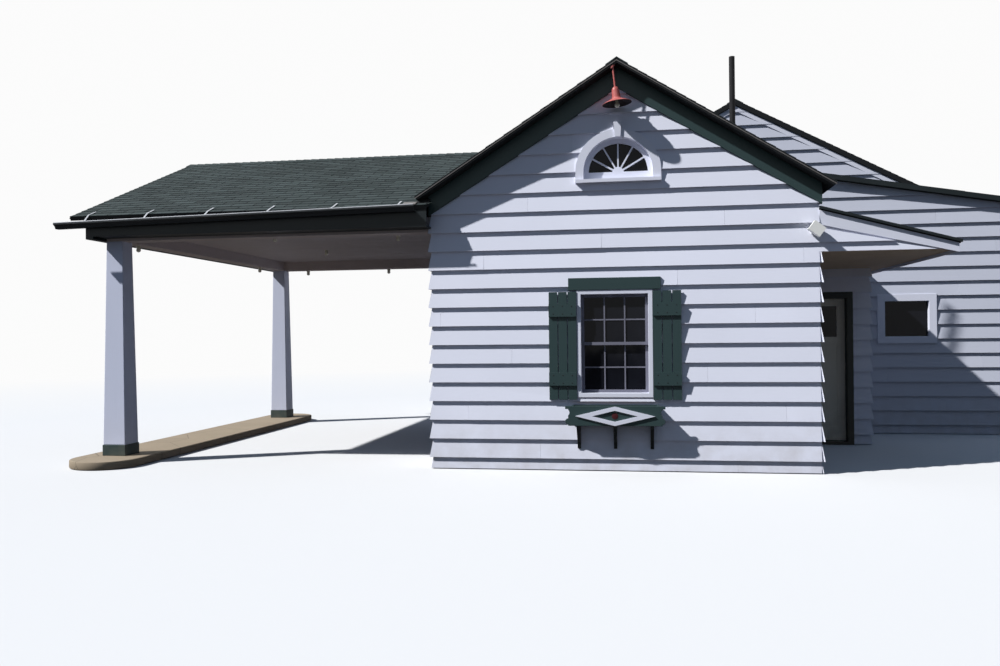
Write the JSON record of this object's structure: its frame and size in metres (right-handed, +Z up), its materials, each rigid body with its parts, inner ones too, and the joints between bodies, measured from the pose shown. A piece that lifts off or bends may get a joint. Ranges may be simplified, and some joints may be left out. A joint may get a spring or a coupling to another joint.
{
  "type": "filling station cottage with drive-through canopy",
  "caption": "White clapboard filling station cottage with a gabled drive-through canopy on two tapered posts, a side porch with a door, and rear rooms.",
  "frame": {"origin": "middle of the office's width and depth, on the underside of its floor, at ground level", "axes": "+X along the front from the canopy to the porch, +Y from the front gable to the back, +Z up"},
  "size_m": [13.0353, 9.8698, 5.4898],
  "materials": {
    "white_paint": "satin gloss paint on clapboard and trim, a little weathered",
    "green_paint": "dark green satin paint on boards",
    "dark_paint": "green-black paint on fascia and door frame",
    "dark_metal": "green-black paint on formed sheet and pipe",
    "shingle": "green-grey mineral asphalt shingles",
    "roll_roofing": "dark mineral roll roofing",
    "concrete": "tan troweled concrete",
    "plinth_paint": "teal-green paint on concrete",
    "ceiling_paint": "cream paint on boards",
    "porch_boards": "brown stained boards",
    "lamp_enamel": "faded red enamel",
    "lamp_housing": "white enamelled housing",
    "bulb_glass": "frosted bulb in a cream holder",
    "dark_glass": "clear window glass before a dark room",
    "door_paint": "cream gloss paint",
    "hinge_steel": "worn steel",
    "knob_brass": "tarnished brass"
  },
  "bodies": {
    "building": {"office_floor": "concrete", "front_wall": "white_paint", "left_wall": "white_paint", "right_wall": "white_paint", "roof_left": "shingle", "roof_right": "shingle", "frieze_boards": "green_paint", "fan_casing": "white_paint", "fan_sash": "white_paint", "window_casings": "white_paint", "window_sashes": "white_paint", "window_glass": "dark_glass", "window_head": "green_paint", "shutters": "green_paint", "flower_box": "green_paint", "box_brackets": "dark_paint", "box_ornament": "white_paint", "gable_lamp": "lamp_enamel", "vent_pipe": "dark_metal", "corner_lamp": "lamp_housing", "pump_island": "concrete", "post_plinths": "plinth_paint", "canopy_posts": "white_paint", "beam_front": "white_paint", "beam_back": "white_paint", "beam_outer": "white_paint", "canopy_ceiling": "ceiling_paint", "canopy_roof_front": "shingle", "canopy_roof_back": "shingle", "canopy_gable": "white_paint", "eave_front": "dark_paint", "eave_back": "dark_paint", "gutters": "dark_metal", "canopy_lamps": "bulb_glass", "porch_roof": "shingle", "porch_infill": "white_paint", "porch_fascia": "white_paint", "porch_ceiling": "porch_boards", "door_wall_side": "white_paint", "door_wall_head": "white_paint", "vestibule_wall": "white_paint", "door_frame": "dark_paint", "hinge_pins": "hinge_steel", "cross_wall": "white_paint", "rear_gable": "white_paint", "rear_left_wall": "white_paint", "rear_back_wall": "white_paint", "rear_floor": "concrete", "rear_roof_left": "shingle", "rear_roof_right": "shingle", "wing_roof": "roll_roofing", "wing_front_wall": "white_paint", "wing_right_wall": "white_paint", "wing_cheek": "white_paint", "small_casings": "white_paint"},
    "door": {"door_leaf": "door_paint", "door_glass": "dark_glass", "door_hinges": "hinge_steel", "door_knobs": "knob_brass"}
  },
  "joints": [
    {"name": "door_swing", "type": "hinge", "parent": "building", "child": "door", "pos_m": [3.15, 0.507, 0], "axis": [0, 0, -1], "range_deg": [0, 95]}
  ]
}
